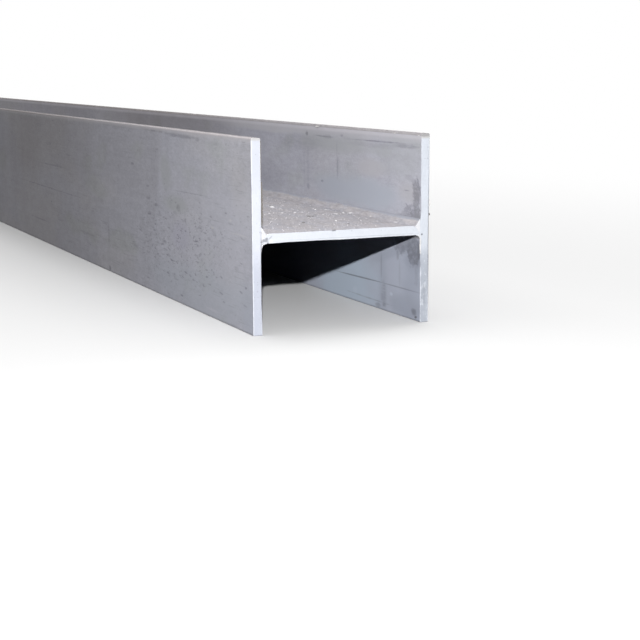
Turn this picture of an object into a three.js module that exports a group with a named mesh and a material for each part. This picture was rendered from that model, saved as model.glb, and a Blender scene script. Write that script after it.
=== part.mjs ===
// Welded H-beam of stainless plate: a web plate between two flange plates, joined by seams that run
// the whole length. Each long edge of the web is bevelled from above. The upper seam fills that
// groove to just under the web's surface, and a backing seam closes the root from below.
//
// Millimetres. X runs across the section from flange to flange, Y along the beam and Z up.
// The beam lies with its web level, resting on the lower edges of both flanges. Its origin is at
// floor level, in the middle of its length and of its section.

import * as THREE from 'three';

// ---- Driving dimensions ----

const beamLength = 6000;
const sectionDepth = 200; // over the outer faces of the flanges
const flangeWidth = 200; // height of each flange as the beam lies
const flangeThickness = 10;
const webThickness = 10;
const webMiddle = 98.5; // height of the web's middle above the lower edges of the flanges

// The shear rolls the upper edges of the flange plates over and leaves the lower ones sharper.
const topInnerEdgeRadius = 2.2;
const topOuterEdgeRadius = 1.2;
const bottomEdgeRadius = 0.6;

// Below its bevel the web keeps a root face, and it stands off the flange by the root gap.
const webRootFace = 2;
const rootGap = 1;

// Weld seams. The legs are measured along the web and along the flange, from where the web's
// surface would meet the flange. A hollow face sags towards that corner: 0 is straight from toe
// to toe, 1 reaches the corner, and below 0 the face is crowned.
const upperSeam = { webLeg: 5.6, flangeLeg: 7.2, hollow: -0.06 };
const backingSeams = {
  left: { webLeg: 6.4, flangeLeg: 8.4, hollow: 0.85 },
  right: { webLeg: 5.4, flangeLeg: 4.6, hollow: 0.5 },
};

// The upper seam stops short of filling the groove, and the arc has eaten back its shoulder.
const unfilledDepth = 1.1;
const shoulderWidth = 2.4;

// A backing seam leaves a shallow undercut in the web along its toe.
const undercutWidth = 1.2;
const undercutDepth = 0.5;

const arcSegments = 5;

// ---- Places worked out from the dimensions ----
// Outlines are drawn in the section for the right-hand side: x across it, y up from the floor.

const flangeOuterFace = sectionDepth / 2;
const flangeInnerFace = flangeOuterFace - flangeThickness;
const webTop = webMiddle + webThickness / 2;
const webUnderside = webMiddle - webThickness / 2;
const webEdge = flangeInnerFace - rootGap;
const rootFaceTop = webUnderside + webRootFace;

// ---- Materials ----

const pickledPlate = new THREE.MeshStandardMaterial({ color: 0x9da0a6, roughness: 0.55, metalness: 0.75 });
const weldMetal = new THREE.MeshStandardMaterial({ color: 0xb0b2b5, roughness: 0.45, metalness: 0.8 });

// ---- Outlines ----

const point = (x, y) => new THREE.Vector2(x, y);

// A flange plate stands on edge, with a small round on each of its four long edges.
function flangePoints() {
  const quarter = Math.PI / 2;
  const outline = new THREE.Shape();
  const roundEdge = (x, y, radius, start) => outline.absarc(x, y, radius, start, start + quarter);

  roundEdge(flangeOuterFace - bottomEdgeRadius, bottomEdgeRadius, bottomEdgeRadius, -quarter);
  roundEdge(flangeOuterFace - topOuterEdgeRadius, flangeWidth - topOuterEdgeRadius, topOuterEdgeRadius, 0);
  roundEdge(flangeInnerFace + topInnerEdgeRadius, flangeWidth - topInnerEdgeRadius, topInnerEdgeRadius, quarter);
  roundEdge(flangeInnerFace + bottomEdgeRadius, bottomEdgeRadius, bottomEdgeRadius, 2 * quarter);
  return outline.getPoints(arcSegments);
}

// The exposed face of a seam, from its toe on the flange to its toe on the web.
function seamFace(flangeToe, webToe, hollow) {
  const corner = point(flangeToe.x, webToe.y);
  const control = flangeToe.clone().lerp(webToe, 0.5).lerp(corner, hollow);
  return new THREE.QuadraticBezierCurve(flangeToe, control, webToe).getPoints(arcSegments);
}

function upperToe() {
  return point(flangeInnerFace - upperSeam.webLeg, webTop - unfilledDepth);
}

// Fills the groove between the flange and the web's bevel, from the root face up.
function upperSeamPoints() {
  const flangeToe = point(flangeInnerFace, webTop + upperSeam.flangeLeg);
  return [
    point(flangeInnerFace, rootFaceTop),
    ...seamFace(flangeToe, upperToe(), upperSeam.hollow),
    point(webEdge, rootFaceTop),
  ];
}

// Fills the root gap and forms a fillet under the web.
function backingSeamPoints({ webLeg, flangeLeg, hollow }) {
  const flangeToe = point(flangeInnerFace, webUnderside - flangeLeg);
  const webToe = point(flangeInnerFace - webLeg, webUnderside);
  return [
    point(flangeInnerFace, rootFaceTop),
    ...seamFace(flangeToe, webToe, hollow),
    point(webEdge, webUnderside),
    point(webEdge, rootFaceTop),
  ];
}

// One long edge of the web, from its underside to its top.
function webEdgePoints({ webLeg }) {
  const toe = flangeInnerFace - webLeg;
  return [
    point(toe - undercutWidth, webUnderside),
    point(toe - undercutWidth / 2, webUnderside + undercutDepth),
    point(toe, webUnderside),
    point(webEdge, webUnderside),
    point(webEdge, rootFaceTop),
    upperToe(),
    point(upperToe().x - shoulderWidth, webTop),
  ];
}

function mirrored(points) {
  return points.map(({ x, y }) => point(-x, y)).reverse();
}

// ---- Pieces ----

// A piece that runs the beam's whole length. The section's y becomes the beam's Z.
function lengthOf(sectionPoints, name, material) {
  const section = new THREE.Shape(sectionPoints);
  const geometry = new THREE.ExtrudeGeometry(section, { depth: beamLength, bevelEnabled: false });
  geometry.rotateX(Math.PI / 2);
  geometry.translate(0, beamLength / 2, 0);

  const piece = new THREE.Mesh(geometry, material);
  piece.name = name;
  return piece;
}

const beam = new THREE.Group();
const webOutline = [...webEdgePoints(backingSeams.right), ...mirrored(webEdgePoints(backingSeams.left))];
beam.add(lengthOf(webOutline, 'web_plate', pickledPlate));

for (const hand of ['left', 'right']) {
  const placed = hand === 'left' ? mirrored : (points) => points;
  beam.add(lengthOf(placed(flangePoints()), `flange_plate_${hand}`, pickledPlate));
  beam.add(lengthOf(placed(upperSeamPoints()), `weld_upper_${hand}`, weldMetal));
  beam.add(lengthOf(placed(backingSeamPoints(backingSeams[hand])), `weld_lower_${hand}`, weldMetal));
}

export default beam;
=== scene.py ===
"""Dresses a welded steel H-beam: three pickled plates joined by four running seams, cut square at both ends.

The beam lies on its flange edges along Y, with its near end at the lowest Y. Meshes are worked out in
metres. Finishes are in millimetres, and so are the lists of marks, flakes, burrs and bulges.
"""

import math

import bmesh
import bpy
from mathutils import Euler, Matrix, Vector, noise


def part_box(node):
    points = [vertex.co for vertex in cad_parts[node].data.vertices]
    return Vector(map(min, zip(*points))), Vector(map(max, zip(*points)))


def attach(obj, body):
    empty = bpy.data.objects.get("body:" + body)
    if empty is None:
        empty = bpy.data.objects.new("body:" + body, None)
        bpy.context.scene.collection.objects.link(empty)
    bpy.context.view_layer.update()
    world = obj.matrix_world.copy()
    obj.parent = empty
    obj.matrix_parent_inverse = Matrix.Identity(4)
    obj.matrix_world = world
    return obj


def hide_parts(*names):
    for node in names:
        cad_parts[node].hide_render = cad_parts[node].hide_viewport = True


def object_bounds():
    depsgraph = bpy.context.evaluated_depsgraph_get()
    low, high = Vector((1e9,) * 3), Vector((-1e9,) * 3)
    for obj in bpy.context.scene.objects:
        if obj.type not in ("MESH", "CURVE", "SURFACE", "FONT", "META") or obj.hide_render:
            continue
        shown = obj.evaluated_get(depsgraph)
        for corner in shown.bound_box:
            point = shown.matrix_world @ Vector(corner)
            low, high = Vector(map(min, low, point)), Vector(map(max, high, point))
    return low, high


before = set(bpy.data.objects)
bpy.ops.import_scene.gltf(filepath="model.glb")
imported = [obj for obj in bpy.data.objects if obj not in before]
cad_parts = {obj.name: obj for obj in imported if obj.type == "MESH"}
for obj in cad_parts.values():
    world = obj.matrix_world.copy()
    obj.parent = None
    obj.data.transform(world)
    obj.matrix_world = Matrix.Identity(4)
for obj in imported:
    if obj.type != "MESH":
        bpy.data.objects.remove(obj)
cad_low, cad_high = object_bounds()
scene = bpy.context.scene

# ---- sizes, from the frame
MM = 0.001
NEAR_END, FAR_END = cad_low.y, cad_high.y
LENGTH = FAR_END - NEAR_END
HALF_WIDTH = cad_high.x
BEAM_TOP = cad_high.z
MID_HEIGHT = BEAM_TOP / 2
FLANGE_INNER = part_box("flange_plate_right")[0].x
FLANGE_MIDDLE = (FLANGE_INNER + HALF_WIDTH) / 2
WEB_UNDER, WEB_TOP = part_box("web_plate")[0].z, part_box("web_plate")[1].z
WEB_MIDDLE = (WEB_UNDER + WEB_TOP) / 2

# the same places in millimetres, for the finishes
TOP_MM, INNER_MM, OUTER_MM = BEAM_TOP / MM, FLANGE_INNER / MM, HALF_WIDTH / MM
WEB_TOP_MM, WEB_MIDDLE_MM, WEB_UNDER_MM = WEB_TOP / MM, WEB_MIDDLE / MM, WEB_UNDER / MM

# ---- how closely the surfaces are drawn
SAME_POINT = 1e-5
END_CHAMFER = 0.35 * MM
WIDEST_SIDE = 10 * MM       # longest stretch of an outline left without a point
CORNER_SUPPORT = 0.5 * MM   # a point this near each corner keeps flat faces flat in shading
FINE_ROW, WIDE_ROW = 3 * MM, 11 * MM
FINE_REACH = 1.4            # rows widen over this length from each end
RIPPLE_PITCH, RIPPLE_HEIGHT, RIPPLE_BOW = 6 * MM, 0.16 * MM, 2.2 * MM
ROWS_PER_RIPPLE = 4
CRISP_ANGLE = math.radians(32)

# ---- colours
PICKLED = (0.406, 0.408, 0.46)
PICKLED_WARM = (0.412, 0.406, 0.43)
PICKLED_GREEN = (0.372, 0.382, 0.398)
PICKLED_BLUE = (0.382, 0.404, 0.456)
PICKLED_VIOLET = (0.378, 0.37, 0.452)
PICKLED_BEIGE = (0.425, 0.412, 0.418)
PICKLED_PALE = (0.47, 0.47, 0.52)
PICKLED_SILVER = (0.47, 0.464, 0.494)
SHADED_BLUE = (0.42, 0.455, 0.545)
SHADED_COOL = (0.45, 0.52, 0.615)
SHADED_PALE = (0.455, 0.48, 0.565)
SHADED_DULL = (0.345, 0.37, 0.445)
SHADED_BRIGHT = (0.54, 0.59, 0.68)
OXIDE_DARK = (0.13, 0.13, 0.15)
EDGE_WORN = (0.48, 0.46, 0.48)
EDGE_LINE = (0.56, 0.52, 0.53)
EDGE_CREST = (0.6, 0.575, 0.61)
EDGE_FACE = (0.34, 0.322, 0.33)
FILM_BROWN = (0.19, 0.172, 0.165)
FILM_GREY = (0.18, 0.181, 0.206)
WEB_DUST = (0.455, 0.44, 0.466)
WEB_DUST_PINK = (0.468, 0.442, 0.452)
WEB_DUST_BLUE = (0.432, 0.43, 0.47)
DUST_BROWN = (0.35, 0.305, 0.275)
DUST_IN_GROOVE = (0.6, 0.58, 0.59)
CUT_LEFT = (0.45, 0.468, 0.522)
CUT_RIGHT = (0.45, 0.475, 0.52)
CUT_WEB = (0.47, 0.49, 0.53)
CUT_RIM = (0.56, 0.58, 0.62)
CUT_SOILED = (0.35, 0.34, 0.325)
CUT_WORN = (0.245, 0.241, 0.246)
WELD_CUT = (0.52, 0.525, 0.55)
WELD_SKIN = (0.4, 0.4, 0.425)
WELD_TOE = (0.3, 0.311, 0.358)
HEAT_STRAW = (0.33, 0.3, 0.27)
CRUMB_PALE = (0.68, 0.675, 0.68)
CRUMB_GRIT = (0.57, 0.56, 0.57)
CRUMB_DUST = (0.46, 0.448, 0.462)
CRUMB_DARK = (0.13, 0.125, 0.12)
BURR_DARK = (0.15, 0.138, 0.128)
BURR_BRIGHT = (0.56, 0.55, 0.54)
FLOOR_PALE = (0.72, 0.72, 0.72)
FLOOR_BOUNCE = (0.03, 0.03, 0.03)
WHITE = (1, 1, 1)

# ---- camera and lamps
LENS = 82.32
CAMERA_PLACE = cad_low + Vector((-0.5272, -1.3646, 0.2703))
HEADING, TILT, ROLL = math.radians(-23.77), math.radians(-9.86), math.radians(-0.33)
KEY_PLACE = CAMERA_PLACE + Vector((0, 0, 0.23))
# name, place, what it faces, width, height, watts
LAMPS = [
    ("key", KEY_PLACE, (0, NEAR_END, WEB_MIDDLE), 0.022, 0.022, 47.5),
    ("overhead", (0, 0, 2.3), (0, 0, 0), 1.2, 6.6, 31),
    ("right_side", (3.0, 0.2, 1.55), (0, 0.2, WEB_MIDDLE), 5.2, 1.0, 105),
    ("left_rear", (-2.6, 1.9, 1.2), (0, 1.9, WEB_MIDDLE), 3.4, 1.0, 68),
    ("far_end", (0.8, 5.6, 0.9), (0, FAR_END, WEB_MIDDLE), 1.0, 1.0, 25),
]


# ---- nodes
def sum_of(operation):
    return lambda self, *others: self.nodes.math(operation, self, *others)


class Value:
    """The result of a node, which takes part in sums as a number does."""

    __add__ = __radd__ = sum_of("ADD")
    __mul__ = __rmul__ = sum_of("MULTIPLY")
    __sub__, __truediv__, __pow__ = sum_of("SUBTRACT"), sum_of("DIVIDE"), sum_of("POWER")
    __abs__ = sum_of("ABSOLUTE")

    def __init__(self, nodes, socket):
        self.nodes = nodes
        self.socket = socket

    def __rsub__(self, other):
        return self.nodes.math("SUBTRACT", other, self)

    def most(self, *others):
        result = self
        for other in others:
            result = self.nodes.math("MAXIMUM", result, other)
        return result

    def ramp(self, low, high, start=0.0, end=1.0):
        """Goes smoothly from start to end while the value goes from low to high."""
        smooth = {"interpolation_type": "SMOOTHSTEP"}
        return self.nodes.listed("ShaderNodeMapRange", smooth, self, low, high, start, end)

    def fade(self, low, high, start=1.0):
        """Goes smoothly down to nothing while the value goes from low to high."""
        return self.ramp(low, high, start, 0.0)


class Nodes:
    """A node tree, with short words for its nodes. The name of a socket has _ for a space."""

    def __init__(self, tree):
        self.tree = tree
        tree.nodes.clear()

    def node(self, kind, settings=None, **sockets):
        made = self.tree.nodes.new(kind)
        for key, value in (settings or {}).items():
            setattr(made, key, value)
        for label, value in sockets.items():
            wanted = label.replace("_", " ")
            self.feed(next(s for s in made.inputs if s.enabled and s.name == wanted), value)
        return made

    def feed(self, socket, value):
        """Gives a socket a number, a colour or the result of another node."""
        if isinstance(value, Value):
            self.tree.links.new(value.socket, socket)
        elif socket.type == "RGBA":
            socket.default_value = (*value, 1)
        else:
            socket.default_value = value

    def results(self, kind, settings=None, **sockets):
        return [Value(self, s) for s in self.node(kind, settings, **sockets).outputs if s.enabled]

    def result(self, kind, settings=None, **sockets):
        return self.results(kind, settings, **sockets)[0]

    def listed(self, kind, settings, *values):
        """The result of a node whose sockets are fed in their own order."""
        made = self.node(kind, settings)
        for socket, value in zip(made.inputs, values):
            self.feed(socket, value)
        return Value(self, made.outputs[0])

    def math(self, operation, *values):
        return self.listed("ShaderNodeMath", {"operation": operation}, *values)

    def parts(self, vector):
        return self.results("ShaderNodeSeparateXYZ", Vector=vector)

    def scaled(self, vector, factor):
        return self.result("ShaderNodeVectorMath", {"operation": "SCALE"}, Vector=vector, Scale=factor)

    def show(self, surface, lit, seen):
        """Lets the eye and reflections meet one shader, and all other light the other."""
        ray = {s.name: Value(self, s) for s in self.node("ShaderNodeLightPath").outputs}
        looking = ray["Is Camera Ray"].most(ray["Is Glossy Ray"], ray["Is Transmission Ray"])
        self.feed(surface, self.listed("ShaderNodeMixShader", {}, looking, lit, seen))


# ---- how a finish is made
class Finish(Nodes):
    """One material. Its places and the sizes of its patterns are in millimetres."""

    def __init__(self, name):
        self.material = bpy.data.materials.new(name)
        self.material.use_nodes = True
        super().__init__(self.material.node_tree)
        self.surface = self.node("ShaderNodeOutputMaterial").inputs["Surface"]
        metres = Value(self, self.node("ShaderNodeTexCoord").outputs["Object"])
        self.place = self.scaled(metres, 1 / MM)
        self.x, self.y, self.z = self.parts(self.place)
        self.along = self.y - NEAR_END / MM
        self.colour = None
        self.bump = {}

    def measured(self, place, centre, turn, size):
        """Coordinates counted from a centre, along turned axes, in steps of the given size."""
        turned = [math.radians(angle) for angle in turn]
        return self.result("ShaderNodeMapping", {"vector_type": "TEXTURE"}, Vector=place, Location=centre,
                           Rotation=turned, Scale=size)

    def cloud(self, size, detail=2, rough=0.5, shift=(0, 0, 0), turn=(0, 0, 0)):
        """Soft noise with lumps of about this size along X, Y and Z, and finer ones the rougher it is."""
        place = self.measured(self.place, shift, turn, size)
        return self.result("ShaderNodeTexNoise", Vector=place, Scale=1.0, Detail=detail, Roughness=rough)

    def specks(self, sheet, cell, turn, share, size):
        """Small separate marks on a sheet, one in a share of the cells, at most this many cells long.

        A sheet is a pair of axes, across and up.
        """
        flat = self.result("ShaderNodeCombineXYZ", X=sheet[0], Y=sheet[1])
        place = self.measured(flat, (0, 0, 0), (0, 0, turn), (*cell, 1))
        flat_cells = {"voronoi_dimensions": "2D"}
        distance, chance, *_ = self.results("ShaderNodeTexVoronoi", flat_cells, Vector=place, Scale=1.0)
        choice, width, depth = self.results("ShaderNodeSeparateColor", Color=chance)
        rim = width * (size * 0.3) + size * 0.2
        inside = distance.fade(rim * 0.4, rim)
        return inside * self.math("LESS_THAN", choice, share) * (depth * 0.6 + 0.4)

    def steps(self, sheet, centre, angle, half):
        """How many half sizes a place is from a centre, along a line at this angle."""
        cosine, sine = math.cos(angle) / half, math.sin(angle) / half
        found = -(centre[0] * cosine + centre[1] * sine)
        for axis, rate in zip(sheet, (cosine, sine)):
            if abs(rate) > 1e-9:
                found = self.math("MULTIPLY_ADD", axis, rate, found)
        return found

    def spot(self, sheet, row, torn=None, tear=0.0, soft=(0.4, 1.05)):
        """An oval mark. Its row is across, up, half length, half height, strength and, unless it is 0, turn.

        It is worked out in single numbers, because many marks in vectors overfill a renderer's memory.
        """
        *centre, half_length, half_height, strength = row[:5]
        angle = math.radians(sum(row[5:]))
        lengthwise = self.steps(sheet, centre, angle, half_length)
        upwards = self.steps(sheet, centre, angle + math.pi / 2, half_height)
        away = self.math("SQRT", self.math("MULTIPLY_ADD", lengthwise, lengthwise, upwards * upwards))
        if torn:
            away = self.math("MULTIPLY_ADD", torn, tear * 2, away) - tear
        return away.fade(*soft, strength)

    def marks(self, sheet, rows, torn=None, tear=0.0, soft=(0.4, 1.05)):
        """The strongest of several marks, each made and compared in turn so that few results wait."""
        found = 0.0
        for row in rows:
            found = self.math("MAXIMUM", found, self.spot(sheet, row, torn, tear, soft))
        return found

    def mix(self, below, above, amount):
        return self.result("ShaderNodeMix", {"data_type": "RGBA"}, Factor=amount, A=below, B=above)

    def paint(self, tone, amount):
        """Lays a colour over the colour so far."""
        self.colour = self.mix(self.colour, tone, amount)

    def shade(self, colour, *swings):
        """Lightens and darkens a colour by several (noise, depth) pairs at once."""
        level = 1.0
        for value, depth in swings:
            level = self.math("MULTIPLY_ADD", value - 0.5, depth * 2, level)
        return self.scaled(colour, level)

    def relief(self, *layers):
        """Bump from several (height from 0 to 1, depth in millimetres) pairs."""
        total = 0.0
        for value, depth in layers:
            total = self.math("MULTIPLY_ADD", value, depth, total)
        self.bump["Normal"] = self.result("ShaderNodeBump", Strength=1.0, Distance=MM, Height=total)

    def attribute(self, name):
        return Value(self, self.node("ShaderNodeAttribute", {"attribute_name": name}).outputs["Fac"])

    def finish(self, roughness, metallic, gloss):
        shader = self.result("ShaderNodeBsdfPrincipled", Base_Color=self.colour, Roughness=roughness,
                             Metallic=metallic, Specular_IOR_Level=gloss, **self.bump)
        self.feed(self.surface, shader)
        return self.material


# ---- finishes of the plates
def pickled_ground(skin):
    """Bare pickled plate: cool, warm and greenish patches, bands across and streaks along the rolling."""
    patches = skin.cloud((240, 300, 120), 3)
    tints = skin.cloud((200, 130, 60), 3, shift=(0, 310, 0))
    mottle = skin.cloud((30, 24, 8), 5, 0.68)
    bands = skin.cloud((170, 46, 700), shift=(300, 0, 0))
    narrow_bands = skin.cloud((170, 15, 260), 1, shift=(0, 0, 90))
    streaks = skin.cloud((30, 190, 5))
    strokes = skin.cloud((20, 9, 3), 4, 0.7, shift=(0, 60, 0), turn=(5, 0, 0))
    grain = skin.cloud((1.2, 3.2, 1.4), 2, 0.6)
    colour = skin.mix(PICKLED, PICKLED_WARM, patches.ramp(0.46, 0.6, 0, 0.5))
    colour = skin.mix(colour, PICKLED_GREEN, tints.ramp(0.56, 0.66, 0, 0.6))
    return skin.shade(colour, (patches, 0.05), (tints, 0.04), (mottle, 0.18), (bands, 0.08),
                      (narrow_bands, 0.04), (streaks, 0.05), (strokes, 0.19), (grain, 0.16))


def old_film(skin, start, full, depth, bare=0.45):
    """A thin film that sets in with distance from the near end and then comes and goes in patches. It is
    partly a real film and partly painted shade for the light that falls off along the beam.
    """
    reach = (skin.z * 0.25 + skin.along).ramp(start, full)
    patchy = skin.cloud((500, 620, 300), 3, shift=(0, 900, 0)).ramp(0.38, 0.56, bare, 1)
    return reach * patchy * depth


def flange_finish(name, outer, upper, lower, cluster):
    """Pickled flange plate, with a look for its outer face and for its inner face over and under the web.

    The cluster is where dashes gather.
    """
    skin = Finish(name)
    face = (skin.along, skin.z)
    torn = skin.cloud((40, 9, 5), 4, 0.65)
    ragged = skin.cloud((40, 11, 11), 6, 0.72, shift=(0, 70, 0))
    broken = skin.cloud((40, 17, 3), 3, 0.6, shift=(0, 40, 0)).ramp(0.36, 0.58, 0.45, 1)
    wide = skin.cloud((90, 60, 40), 3, shift=(0, 20, 0))
    middle = (INNER_MM + OUTER_MM) / 2
    inside = abs(skin.x).fade(middle - 1, middle + 1)
    outside = 1 - inside
    above = skin.z.ramp(WEB_MIDDLE_MM - 2, WEB_MIDDLE_MM + 2)
    inside_above, inside_below = inside * above, inside * (1 - above)
    skin.colour = pickled_ground(skin)
    skin.paint(SHADED_BLUE, inside_below * 0.75)

    stains = []
    faces = zip((outer, upper, lower), (outside, inside_above, inside_below))
    for (tint_rows, soft_rows, ragged_rows, trace_rows), where in faces:
        for tone, *row in tint_rows:
            skin.paint(tone, skin.spot(face, row, wide, 0.5, (0.45, 1.25)) * where)
        found = skin.marks(face, soft_rows, torn, 0.4) * broken
        if ragged_rows:
            smudge = skin.marks(face, ragged_rows, ragged, 1.3, (0.6, 1.0))
            found = found.most(smudge * torn.ramp(0.36, 0.56, 0.65, 1))
        if trace_rows:
            found = found.most(skin.marks(face, trace_rows, torn, 0.15))
        stains.append(found * where)

    slanted = (skin.z * 0.375 + skin.along).ramp(352, 368)
    skin.paint(FILM_BROWN, slanted * skin.z.ramp(90, 130, 0.45, 1) * outside * 0.15)
    # films that deepen along the beam: partly real film, partly painted shade for the falling light; the
    # grey one on the inner face above the web is painted shade only
    skin.paint(FILM_BROWN, old_film(skin, 250, 1100, 0.4) * outside)
    skin.paint(FILM_GREY, old_film(skin, -120, 380, 0.29, bare=0.8) * inside_above)
    skin.paint(FILM_BROWN, old_film(skin, 400, 1300, 0.34) * inside)

    elsewhere = skin.cloud((300, 260, 160), shift=(0, 500, 0))
    crowd = skin.spot(face, cluster, torn, 0.8, (0.4, 1.2)).most(elsewhere.ramp(0.52, 0.68, 0.02, 0.25))
    drifted = (torn * 26 + skin.along, ragged * 7 + skin.z)
    long_dashes = skin.specks(drifted, (16, 3.6), 4, crowd * 0.22, 0.8)
    short_dashes = skin.specks(drifted, (8, 3.4), -6, crowd * 0.24, 0.66)
    crackle = skin.cloud((30, 9, 3.2), 5, 0.75, shift=(0, 200, 0)).ramp(0.53, 0.68)
    dashes = (long_dashes.most(short_dashes) * 0.4).most(crackle * crowd * 0.64) * outside
    lines = skin.cloud((60, 62, 1.7), shift=(0, 120, 0)).ramp(0.6, 0.74)
    lines = lines * elsewhere.ramp(0.4, 0.6, 0.15, 1) * outside * 0.26
    skin.paint(OXIDE_DARK, dashes.most(lines, *stains))

    paint_sheared_edges(skin, torn, ragged, inside, outside)
    grain = skin.cloud((0.9, 1.1, 0.9), 2, 0.6)
    scale_lines = skin.cloud((16, 500, 4))
    skin.relief((grain, 0.05), (scale_lines, 0.06), (dashes, -0.08))
    return skin.finish(torn.ramp(0.2, 0.8, 0.72, 0.9), 0.0, 0.03)


def paint_sheared_edges(skin, torn, ragged, inside, outside):
    """The long edges of a flange: a darker beige on the rolled-over top and inner rounding, the edge's own
    tone deepened by painted shade; painted highlights along the inner crest and the outer lip; a painted
    contact shadow along the foot; bright where the shear broke out.
    """
    from_top = TOP_MM - skin.z
    skin.paint(EDGE_WORN, (torn * 4 - 2 + from_top).fade(2, 7, 0.5) * outside)
    # painted contact shadow along the foot of the flange, and darker on the outer face beside the cut end
    skin.paint(OXIDE_DARK, skin.z.fade(0.5, 2.5, 0.3).most(skin.along.fade(0.8, 2.4, 0.24) * outside))
    # a darker beige on the top and the inner rounding: the sheared edge's own tone, deepened as painted
    # shade against the light from above
    rolled = (from_top.fade(2.2, 3) * inside).most(from_top.fade(0.05, 0.35))
    skin.paint(skin.shade(EDGE_FACE, (torn, 0.2), (ragged, 0.2)), rolled * 0.9)
    # painted highlight on the inner face, where the rounded top edge meets it
    crest = from_top.ramp(2.3, 3.1) * inside * from_top.fade(4.5, 8) * 0.33
    skin.paint(EDGE_CREST, crest)
    # painted highlight along the rounded outer top edge, fainter further from the near end
    lip = from_top.fade(1.3, 2.3) * outside * 0.66 * ragged.ramp(0.34, 0.5, 0.55, 1)
    skin.paint(EDGE_LINE, lip * skin.along.ramp(150, 500, 1, 0.7))
    scraped = skin.cloud((3, 11, 3), 3, 0.6).ramp(0.62, 0.7)
    skin.paint(BURR_BRIGHT, from_top.fade(1, 3.6) * scraped * 0.4)
    skin.paint(FILM_BROWN, from_top.fade(1, 2.4) * skin.along.ramp(300, 1100, 0, 0.55))


def web_finish(name):
    """The web: a fine gritty dust on top, plain pickled plate underneath."""
    skin = Finish(name)
    level = (skin.x, skin.along)
    upward = skin.z.ramp(WEB_MIDDLE_MM, WEB_TOP_MM - 0.5)
    groove = skin.z.fade(WEB_TOP_MM - 0.3, WEB_TOP_MM - 0.1) * upward
    pale = skin.specks(level, (3.5, 8), 0, 0.3, 0.75) * upward * 0.28
    dark = skin.specks(level, (5, 11), 20, 0.2, 0.65) * upward * 0.4
    skin.colour = pickled_ground(skin)
    skin.paint(gritty_dust(skin), upward * 0.92)
    skin.paint(DUST_IN_GROOVE, groove * 0.8)
    skin.paint(CRUMB_PALE, pale)
    skin.paint(CRUMB_DARK, dark)
    gravel = skin.cloud((1.6, 3.2, 1.6), 3, 0.7)
    skin.relief((gravel, 0.1), (pale, 0.22))
    return skin.finish(upward.ramp(0, 1, 0.75, 0.95), 0.0, 0.03)


def gritty_dust(skin):
    """Pinkish grey dust with grains that lie in drifts, paler by the cut end, with painted light beside the
    left flange and painted shade towards the right flange, and browner in patches right beside the left
    flange.
    """
    gravel = skin.cloud((2, 10, 2), 3, 0.7)
    grains = skin.cloud((4, 22, 4), 3, 0.65, shift=(0, 33, 0))
    drift = skin.cloud((70, 120, 50), 4, 0.6)
    tint = skin.cloud((9, 30, 9), 3, 0.6, shift=(50, 0, 0))
    dust = skin.mix(WEB_DUST, WEB_DUST_PINK, tint.ramp(0.42, 0.6, 0, 0.7))
    dust = skin.mix(dust, WEB_DUST_BLUE, tint.fade(0.34, 0.48, 0.7))
    # painted light beside the left flange, against the shade it casts on the web, and painted shade towards
    # the right flange
    by_left = skin.x.ramp(4 - INNER_MM, 50 - INNER_MM, 1, 0.25)
    by_end = skin.along.ramp(10, 60, 1, 0.35)
    by_right = skin.x.ramp(30, 80)
    dust = skin.shade(dust, (gravel, 0.46), (grains, 0.27), (drift, 0.03), (by_left, 0.08), (by_end, 0.07),
                      (by_right, -0.04))
    # browner in patches within 20 mm of the left flange
    beside_left = skin.x.fade(-INNER_MM, 20 - INNER_MM)
    dust = skin.mix(dust, DUST_BROWN, beside_left * drift.ramp(0.48, 0.62) * 0.35)
    return skin.mix(dust, FILM_BROWN, old_film(skin, 150, 1200, 0.34))


def cut_finish(name, tone, low_share, spots, bright_spots=(), rims=(), high_share=1.0, soiled=3.0,
               uneven=0.08, blotches=0.0, rim_top=TOP_MM, worn=0.0):
    """A cut end: fine scratches from the blade, a bright rim where the cut breaks out, duller low down.

    Each rim is an axis and the two places along it between which the bright line fades in, up to rim_top.
    Soiled is how far down the upper edge is dirty, worn how dull its last 3 mm are, and blotches how
    strongly the low part is mottled. The share for the upper part darkens it towards the top, as painted
    shade where the key lamp is nearer.
    """
    skin = Finish(name)
    end = (skin.x, skin.z)
    hatch = skin.cloud((4, 25, 0.8), turn=(0, 38, 0))
    cloudy = skin.cloud((8, 25, 11), 4, 0.65)
    fine = skin.cloud((1.6, 10, 1.6), 3, 0.7)
    blue_shift = (0.98, 0.99, 1.02)
    dimmer = tuple(part * low_share * shift for part, shift in zip(tone, blue_shift))
    # painted shade: the upper part darker, where the key lamp is nearer
    higher = tuple(part * high_share for part in tone)
    low = skin.z.fade(60, 92)
    ground = skin.mix(skin.mix(tone, higher, skin.z.ramp(135, 175)), dimmer, low)
    skin.colour = skin.shade(ground, (hatch, 0.05), (cloudy, uneven), (fine, 0.09))
    if blotches:
        lumps = skin.cloud((5, 25, 7), 4, 0.7, shift=(0, 0, 50)).ramp(0.5, 0.66)
        skin.paint(CUT_RIM, lumps * low * blotches)
    rim_reach = skin.z.fade(rim_top, rim_top + 20)
    for axis, start, full in rims:
        place = abs(skin.x) if axis == "x" else skin.z
        skin.paint(CUT_RIM, place.ramp(start, full) * cloudy.ramp(0.3, 0.52) * rim_reach * 0.75)
    top = fine * 2 + skin.z
    skin.paint(CUT_SOILED, top.ramp(TOP_MM - soiled, TOP_MM - soiled + 2.5) * 0.75)
    if worn:
        skin.paint(CUT_WORN, top.ramp(TOP_MM - 2.8, TOP_MM - 1.8, 0, worn))
    if bright_spots:
        skin.paint(CUT_RIM, skin.marks(end, bright_spots, cloudy, 0.3))
    pits = skin.specks(end, (3.4, 3.8), 0, skin.z.ramp(50, 90, 0.16, 0.05), 0.7)
    skin.paint(OXIDE_DARK, (pits * 0.3).most(skin.marks(end, spots, cloudy, 0.5)))
    skin.relief((hatch, 0.03), (cloudy, 0.05), (pits, -0.1))
    return skin.finish(hatch.ramp(0.2, 0.8, 0.55, 0.72), 0.06, 0.12)


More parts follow.
